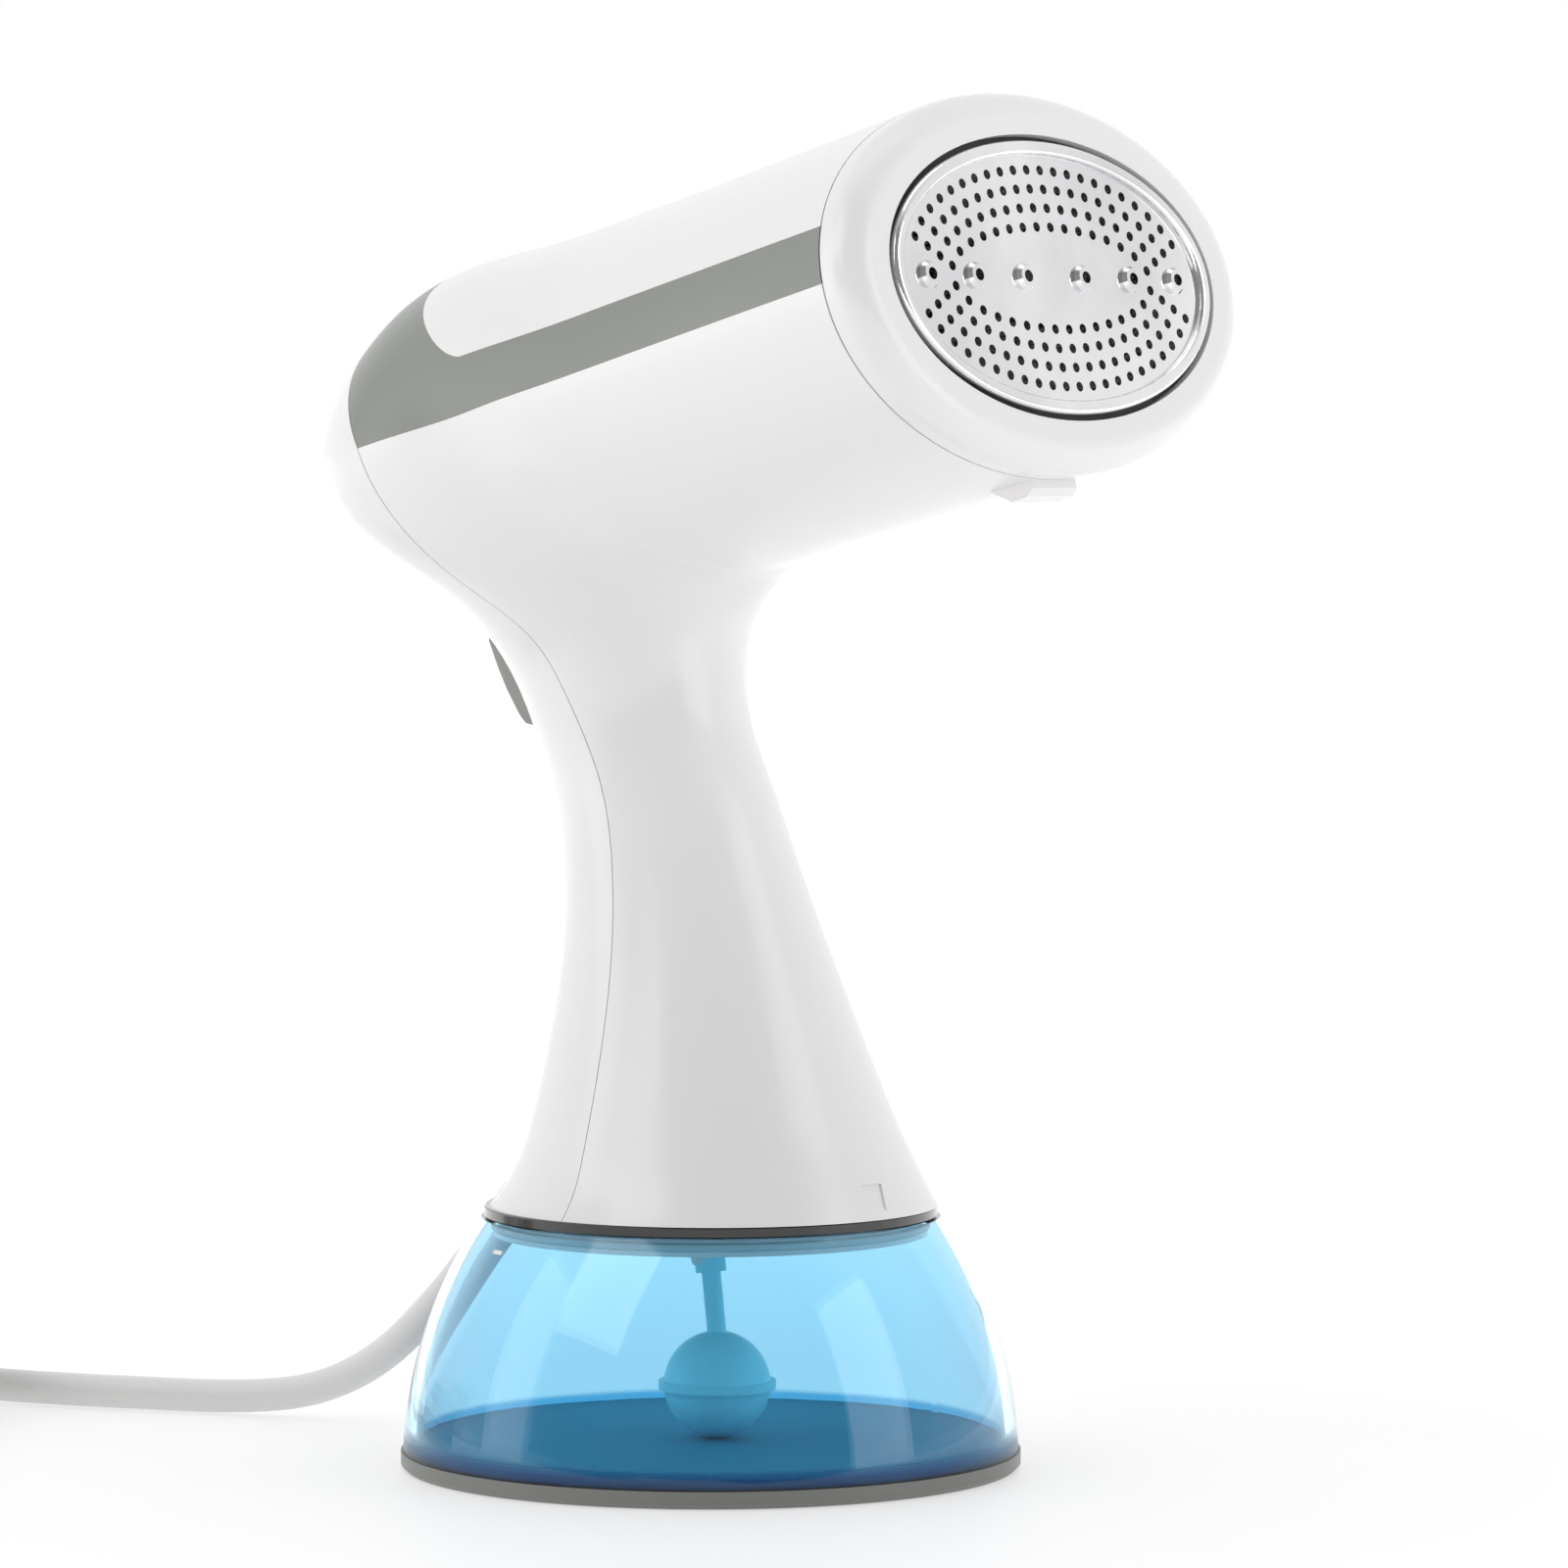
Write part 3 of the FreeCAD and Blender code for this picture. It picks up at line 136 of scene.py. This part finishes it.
# how far round towards the camera's far side, and how bright the room is there
WORLD_STOPS = ((0.0, 0.34), (0.25, 0.3), (0.46, 0.82), (0.6, 1.0))


def make_world():
    """A studio whose far side is white, with soft gray bands round the rest of the room."""
    world = bpy.data.worlds.new("studio")
    bpy.context.scene.world = world
    world.use_nodes = True
    tree = world.node_tree
    background = tree.nodes["Background"]
    place = add(tree, "ShaderNodeTexCoord")
    turned = add(tree, "ShaderNodeVectorRotate", rotation_type="Z_AXIS")
    turned.inputs["Angle"].default_value = -CAMERA_AZIMUTH
    tree.links.new(place.outputs["Generated"], turned.inputs["Vector"])
    axes = add(tree, "ShaderNodeSeparateXYZ")
    tree.links.new(turned.outputs["Vector"], axes.inputs["Vector"])
    ramp = add(tree, "ShaderNodeValToRGB")
    ramp.color_ramp.interpolation = "EASE"
    while len(ramp.color_ramp.elements) < len(WORLD_STOPS):
        ramp.color_ramp.elements.new(0.5)
    for element, (position, value) in zip(ramp.color_ramp.elements, WORLD_STOPS):
        element.position = position
        element.color = (value, value, value * 1.004, 1)
    level = add(tree, "ShaderNodeMapRange")
    level.inputs["From Min"].default_value = -1.0
    tree.links.new(axes.outputs["Y"], level.inputs["Value"])
    tree.links.new(level.outputs["Result"], ramp.inputs["Fac"])
    tree.links.new(ramp.outputs["Color"], background.inputs["Color"])
    background.inputs["Strength"].default_value = 1.0


# name, metres to the camera's right, towards the camera and up, width, height, watts
LIGHTS = (
    ("key_light", -1.3, 0.9, 1.5, 1.1, 1.1, 8.0),
    ("side_strip", 1.7, 0.7, 0.55, 0.9, 1.6, 8.0),
    ("left_strip", -1.6, 0.2, 0.4, 0.6, 1.6, 4.0),
    ("top_light", 0.1, -0.2, 1.9, 1.4, 1.0, 3.0),
)


LIGHTS_AIM = Vector((0, 0, 0.13))


def make_lights():
    """A large key from the upper left, a strip on each side and a light overhead."""
    camera_side = Vector((math.sin(CAMERA_AZIMUTH), -math.cos(CAMERA_AZIMUTH), 0))
    rightward = Vector((math.cos(CAMERA_AZIMUTH), math.sin(CAMERA_AZIMUTH), 0))
    for name, right, near, up, wide, tall, power in LIGHTS:
        data = bpy.data.lights.new(name, "AREA")
        data.shape = "RECTANGLE"
        data.size, data.size_y, data.energy = wide, tall, power
        light = bpy.data.objects.new(name, data)
        bpy.context.scene.collection.objects.link(light)
        light.location = rightward * right + camera_side * near + Vector((0, 0, up))
        aim = LIGHTS_AIM - light.location
        light.rotation_mode = "QUATERNION"
        light.rotation_quaternion = aim.to_track_quat("-Z", "Y")


# ---------------------------------------------------------------- materials
def new_material(name):
    """A node material with its Principled shader."""
    material = bpy.data.materials.new(name)
    material.use_nodes = True
    tree = material.node_tree
    shader = tree.nodes["Principled BSDF"]
    return material, tree, shader


def add(tree, kind, **settings):
    """A shader node with its settings and its unlinked inputs set."""
    made = tree.nodes.new(kind)
    for key, value in settings.items():
        if key.startswith("in_"):
            made.inputs[key[3:].replace("_", " ")].default_value = value
        else:
            setattr(made, key, value)
    return made


def noise(tree, scale, detail=3.0, roughness=0.5, stretch=(1, 1, 1)):
    """Noise in the object's own coordinates, per metre."""
    place = add(tree, "ShaderNodeTexCoord")
    mapping = add(tree, "ShaderNodeMapping")
    mapping.inputs["Scale"].default_value = stretch
    texture = add(tree, "ShaderNodeTexNoise", in_Scale=scale, in_Detail=detail, in_Roughness=roughness)
    tree.links.new(place.outputs["Object"], mapping.inputs["Vector"])
    tree.links.new(mapping.outputs["Vector"], texture.inputs["Vector"])
    return texture.outputs["Fac"]


def ranged(tree, value, low, high, from_low=0.3, from_high=0.7):
    """A value carried from one range to another."""
    mapped = add(tree, "ShaderNodeMapRange")
    mapped.inputs["From Min"].default_value = from_low
    mapped.inputs["From Max"].default_value = from_high
    mapped.inputs["To Min"].default_value = low
    mapped.inputs["To Max"].default_value = high
    tree.links.new(value, mapped.inputs["Value"])
    return mapped.outputs["Result"]


def tinted(tree, value, dark, light):
    """A colour between two, by a value."""
    ramp = add(tree, "ShaderNodeValToRGB")
    ramp.color_ramp.elements[0].position = 0.3
    ramp.color_ramp.elements[1].position = 0.7
    ramp.color_ramp.elements[0].color = (*dark, 1)
    ramp.color_ramp.elements[1].color = (*light, 1)
    tree.links.new(value, ramp.inputs["Fac"])
    return ramp.outputs["Color"]


def bumped(tree, shader, value, strength, distance):
    """Relief from a value."""
    relief = add(tree, "ShaderNodeBump", in_Strength=strength, in_Distance=distance)
    tree.links.new(value, relief.inputs["Height"])
    tree.links.new(relief.outputs["Normal"], shader.inputs["Normal"])


def moulded(name, dark, light, rough=(0.2, 0.28), grain=900.0, relief=0.05, coat=0.0, ior=1.47):
    """Moulded plastic: faint cloudiness, uneven gloss and the tool's fine grain."""
    material, tree, shader = new_material(name)
    cloud = noise(tree, 9.0, 1.0)
    tree.links.new(tinted(tree, cloud, dark, light), shader.inputs["Base Color"])
    smear = noise(tree, 55.0, 4.0, 0.6)
    tree.links.new(ranged(tree, smear, *rough), shader.inputs["Roughness"])
    bumped(tree, shader, noise(tree, grain, 2.0), relief, 0.0002)
    shader.inputs["IOR"].default_value = ior
    if coat:
        shader.inputs["Coat Weight"].default_value = coat
        shader.inputs["Coat Roughness"].default_value = 0.16
    return material


def metal(name, dark, light, rough=(0.1, 0.2), stretch=(1, 1, 1), relief=0.05, scale=300.0):
    """Metal with a directional finish."""
    material, tree, shader = new_material(name)
    shader.inputs["Metallic"].default_value = 1.0
    grain = noise(tree, scale, 4.0, 0.6, stretch)
    tree.links.new(tinted(tree, grain, dark, light), shader.inputs["Base Color"])
    tree.links.new(ranged(tree, grain, *rough), shader.inputs["Roughness"])
    bumped(tree, shader, grain, relief, 0.0001)
    return material


TANK_SHADE_BELOW, TANK_PALE_ABOVE = 0.0052, 0.0075  # heights between which the painted shade at the tank's floor pales to the tank's tint
TANK_PALE = (0.55, 0.84, 0.985)


def clear_tank(name="tank_clear", coat=0.6, rough=0.0, clear=1.0, painted_floor_shade=(0.1, 0.46, 0.74)):
    """Clear tinted plastic with faint flow marks, rougher at the tank's floor and painted a deeper
    blue there as painted shade.
    """
    material, tree, shader = new_material(name)
    shader.inputs["Transmission Weight"].default_value = clear
    shader.inputs["IOR"].default_value = 1.16
    place = add(tree, "ShaderNodeNewGeometry")
    height = add(tree, "ShaderNodeSeparateXYZ")
    tree.links.new(place.outputs["Position"], height.inputs["Vector"])
    floor_shade_and_roughness = ranged(tree, height.outputs["Z"], 0.0, 1.0, TANK_SHADE_BELOW, TANK_PALE_ABOVE)
    # painted shade: the tank is painted a deeper blue at its floor, paling to its own tint above
    tree.links.new(tinted(tree, floor_shade_and_roughness, painted_floor_shade, TANK_PALE), shader.inputs["Base Color"])
    smear = noise(tree, 14.0, 3.0)
    gloss = add(tree, "ShaderNodeMath", operation="ADD")
    tree.links.new(ranged(tree, smear, rough, rough + 0.02), gloss.inputs[0])
    tree.links.new(ranged(tree, floor_shade_and_roughness, 0.45, 0.0, 0.0, 1.0), gloss.inputs[1])
    tree.links.new(gloss.outputs["Value"], shader.inputs["Roughness"])
    if coat:
        shader.inputs["Coat Weight"].default_value = coat
        shader.inputs["Coat Roughness"].default_value = 0.02
    bumped(tree, shader, noise(tree, 26.0, 2.0), 0.04, 0.0004)
    return material


def make_materials():
    """One material per slot of the record, and one for the tank's floor."""
    return {
        "white_gloss": moulded("white_gloss", (0.796, 0.782, 0.782), (0.806, 0.792, 0.792),
                               rough=(0.235, 0.26), grain=1600.0, relief=0.006, coat=0.25),
        "trim_gray": moulded("trim_gray", (0.225, 0.235, 0.215), (0.25, 0.262, 0.24),
                             rough=(0.26, 0.34), relief=0.015),
        "foot_gray": moulded("foot_gray", (0.17, 0.175, 0.16), (0.2, 0.205, 0.19),
                             rough=(0.35, 0.45), relief=0.15),
        "collar_black": moulded("collar_black", (0.006, 0.006, 0.007), (0.012, 0.012, 0.014),
                                rough=(0.08, 0.14), relief=0.02, coat=0.5),
        "tank_clear": clear_tank(),
        # the tank's floor: mostly opaque and painted a deeper blue, as painted shade
        "tank_floor_painted_shade": clear_tank("tank_floor_painted_shade", coat=0.0, rough=0.25, clear=0.3,
                                        painted_floor_shade=(0.08, 0.47, 0.66)),
        "chrome": metal("chrome", (0.66, 0.66, 0.67), (0.84, 0.84, 0.85), rough=(0.08, 0.14),
                        relief=0.25, scale=26.0),
        "seal_black": moulded("seal_black", (0.012, 0.012, 0.012), (0.022, 0.022, 0.022),
                              rough=(0.5, 0.6), relief=0.2),
        "silicone": moulded("silicone", (0.62, 0.66, 0.66), (0.7, 0.74, 0.74), rough=(0.4, 0.5)),
        "pickup_blue": moulded("pickup_blue", (0.36, 0.88, 0.98), (0.4, 0.92, 0.99),
                               rough=(0.3, 0.4), relief=0.1),
        "steel": metal("steel", (0.5, 0.5, 0.5), (0.62, 0.62, 0.62), (0.2, 0.32), (1, 1, 8)),
        "cast_aluminium": metal("cast_aluminium", (0.5, 0.5, 0.51), (0.64, 0.64, 0.65),
                                (0.4, 0.55), relief=0.4, scale=700.0),
        "heat_plastic": moulded("heat_plastic", (0.015, 0.015, 0.016), (0.03, 0.03, 0.03),
                                rough=(0.5, 0.6), relief=0.2),
        "copper_coil": metal("copper_coil", (0.55, 0.25, 0.1), (0.7, 0.36, 0.16), (0.25, 0.35),
                             (1, 1, 30), relief=0.5, scale=120.0),
        "board_green": moulded("board_green", (0.01, 0.09, 0.04), (0.016, 0.13, 0.06)),
        "part_dark": moulded("part_dark", (0.012, 0.012, 0.013), (0.03, 0.03, 0.032),
                             rough=(0.35, 0.45), relief=0.1),
        "lead_white": moulded("lead_white", (0.74, 0.735, 0.725), (0.78, 0.775, 0.765),
                              rough=(0.38, 0.48), relief=0.12),
        "wire_blue": moulded("wire_blue", (0.02, 0.06, 0.3), (0.03, 0.08, 0.36), rough=(0.4, 0.5)),
        "spring_steel": metal("spring_steel", (0.55, 0.55, 0.56), (0.7, 0.7, 0.7), (0.12, 0.2)),
        "blade_brass": metal("blade_brass", (0.62, 0.52, 0.28), (0.74, 0.64, 0.38), (0.15, 0.25)),
    }


def dress_nodes(materials):
    """Give every carried-over CAD node its slot's material, and the tank's floor its own."""
    for entry in frame["record"]["subparts"]:
        thing = nodes[entry["node"]]
        look = "tank_floor_painted_shade" if thing is nodes["tank_floor"] else entry["material_slot"]
        thing.data.materials.clear()
        thing.data.materials.append(materials[look])


# ---------------------------------------------------------------- mains lead
LEAD_DIAMETER = 0.0065
COIL_CENTRE = Vector((-185, -74, 0)) * MM
COIL_MEAN = 0.036
COIL_PITCH = 0.0067
COIL_LAYER = 0.868  # rise of a layer as a share of the pitch, for turns that lie in valleys
LEAD_ROUTE = (
    (-55.85, 0, 40.75), (-63.6, 0, 33.0), (-71.4, 0, 25.2), (-86, -1, 12.5), (-101, -4.5, 5.2),
    (-117, -10.5, 3.25), (-134, -18, 3.25), (-151.5, -25.2, 3.25), (-168.5, -30.2, 3.25),
)
# Column and level of each turn in the bundle, in the order they are wound: the turns of
# every other layer lie in the valleys of the layer below.
COIL_SLOTS = (
    (1, 0), (0, 0), (-1, 0), (-0.5, 1), (0.5, 1), (1, 2), (0, 2), (-1, 2), (-0.5, 3), (0.5, 3),
)
TURN_POINTS = 16
TAIL_ROUTE = (
    (-15.1, 36.4, 21.6), (-27.7, 27.9, 23.8), (-35.6, 15.2, 26.3), (-36.6, 0, 27.9),
    (-29.4, -13.4, 28.8), (-16.3, -22.5, 30.6), (-1, -27, 32.1),
)


def coil_points():
    """The turns of the coil, each in its slot of the bundle, wound anticlockwise."""
    radius = LEAD_DIAMETER / 2
    places = []
    start = math.radians(90)
    last = len(COIL_SLOTS) - 1
    for k in range(len(COIL_SLOTS) * TURN_POINTS + 1):
        turn, part = divmod(k / TURN_POINTS, 1)
        here = COIL_SLOTS[min(int(turn), last)]
        there = COIL_SLOTS[min(int(turn) + 1, last)]
        ease = min(1.0, max(0.0, (part - 0.15) / 0.8))
        ease = ease * ease * (3 - 2 * ease)
        column = here[0] + (there[0] - here[0]) * ease
        level = here[1] + (there[1] - here[1]) * ease
        angle = start + 2 * math.pi * k / TURN_POINTS
        reach = COIL_MEAN + column * COIL_PITCH
        places.append(COIL_CENTRE + Vector((
            reach * math.cos(angle), reach * math.sin(angle),
            radius + level * COIL_PITCH * COIL_LAYER,
        )))
    return places


def smooth_line(points):
    """The points that a smooth open spline with these control points runs through."""
    curve = bpy.data.curves.new("lead_line", "CURVE")
    curve.dimensions = "3D"
    curve.resolution_u = 6
    spline = curve.splines.new("NURBS")
    spline.points.add(len(points) - 1)
    for point, place in zip(spline.points, points):
        point.co = (*place, 1)
    spline.order_u = 3
    spline.use_endpoint_u = True
    thing = bpy.data.objects.new("lead_line", curve)
    mesh = bpy.data.meshes.new_from_object(thing)
    line = [vertex.co.copy() for vertex in mesh.vertices]
    bpy.data.objects.remove(thing)
    bpy.data.curves.remove(curve)
    bpy.data.meshes.remove(mesh)
    return line


def swept(name, line, radius, sides=16):
    """A round tube along a line, with its frame carried along so that it never twists."""
    made = bmesh.new()
    tangent = (line[1] - line[0]).normalized()
    side = tangent.cross(Vector((0, 0, 1)))
    side = side.normalized() if side.length > 1e-4 else Vector((1, 0, 0))
    rings = []
    for k, place in enumerate(line):
        ahead = line[min(k + 1, len(line) - 1)] - line[max(k - 1, 0)]
        if ahead.length > 1e-9:
            tangent = ahead.normalized()
        side = (side - tangent * side.dot(tangent)).normalized()
        other = tangent.cross(side)
        rings.append([
            made.verts.new(place + (side * math.cos(a) + other * math.sin(a)) * radius)
            for a in (2 * math.pi * j / sides for j in range(sides))
        ])
    for first, second in zip(rings, rings[1:]):
        for j in range(sides):
            made.faces.new((first[j], first[(j + 1) % sides], second[(j + 1) % sides], second[j]))
    made.faces.new(rings[0][::-1])
    made.faces.new(rings[-1])
    return from_bmesh(name, made)


def make_lead(materials):
    """The mains lead as one smooth line: down from its relief, round the coil, to the plug."""
    control = [Vector(p) * MM for p in LEAD_ROUTE] + coil_points()
    control += [COIL_CENTRE + Vector(p) * MM for p in TAIL_ROUTE]
    line = smooth_line(control)
    lead = swept("mains_lead", line, LEAD_DIAMETER / 2)
    lead.data.materials.append(materials["lead_white"])
    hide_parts("power_cord", "cord_coil", "cord_tail")
    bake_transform(lead)


# ---------------------------------------------------------------- fill mark
MARK_START, MARK_SPAN = -108, 3.8  # degrees round the tank
MARK_LOW, MARK_HIGH = 42.25, 42.9  # millimetres above the table
MARK_SUNK, MARK_PROUD = -0.03, 0.12  # millimetres from the wall's outside
MARK_STEPS = 12


def make_fill_mark(materials):
    """The dash printed on the tank's wall at its highest water level."""
    wall = nodes["tank_shell"]
    bpy.context.view_layer.update()
    to_world, to_wall = wall.matrix_world, wall.matrix_world.inverted()
    surface = BVHTree.FromObject(wall, bpy.context.evaluated_depsgraph_get())
    made = bmesh.new()
    rings = []
    corners = (
        (MARK_LOW, MARK_SUNK), (MARK_LOW, MARK_PROUD), (MARK_HIGH, MARK_PROUD), (MARK_HIGH, MARK_SUNK),
    )
    for k in range(MARK_STEPS + 1):
        angle = math.radians(MARK_START + MARK_SPAN * k / MARK_STEPS)
        outward = Vector((math.cos(angle), math.sin(angle), 0))
        ring = []
        for height, proud in corners:
            start = to_wall @ (outward * 0.2 + Vector((0, 0, height * MM)))
            ahead = to_wall.to_3x3() @ -outward
            place = to_world @ surface.ray_cast(start, ahead)[0]
            ring.append(made.verts.new(place + outward * (proud * MM)))
        rings.append(ring)
    for first, second in zip(rings, rings[1:]):
        for j in range(4):
            made.faces.new((first[j], second[j], second[(j + 1) % 4], first[(j + 1) % 4]))
    made.faces.new(rings[0])
    made.faces.new(rings[-1][::-1])
    bmesh.ops.recalc_face_normals(made, faces=made.faces)
    mark = from_bmesh("fill_mark", made, smooth=False)
    mark.data.materials.append(materials["white_gloss"])
    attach(mark, "tank")


def press_spring():
    """The trigger's spring gets a mesh of its own, shared with no other object."""
    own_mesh(nodes["trigger_spring"])


# ---------------------------------------------------------------- assembly of the scene
make_camera()
make_floor()
make_world()
make_lights()
materials = make_materials()
dress_nodes(materials)
make_lead(materials)
make_fill_mark(materials)
press_spring()
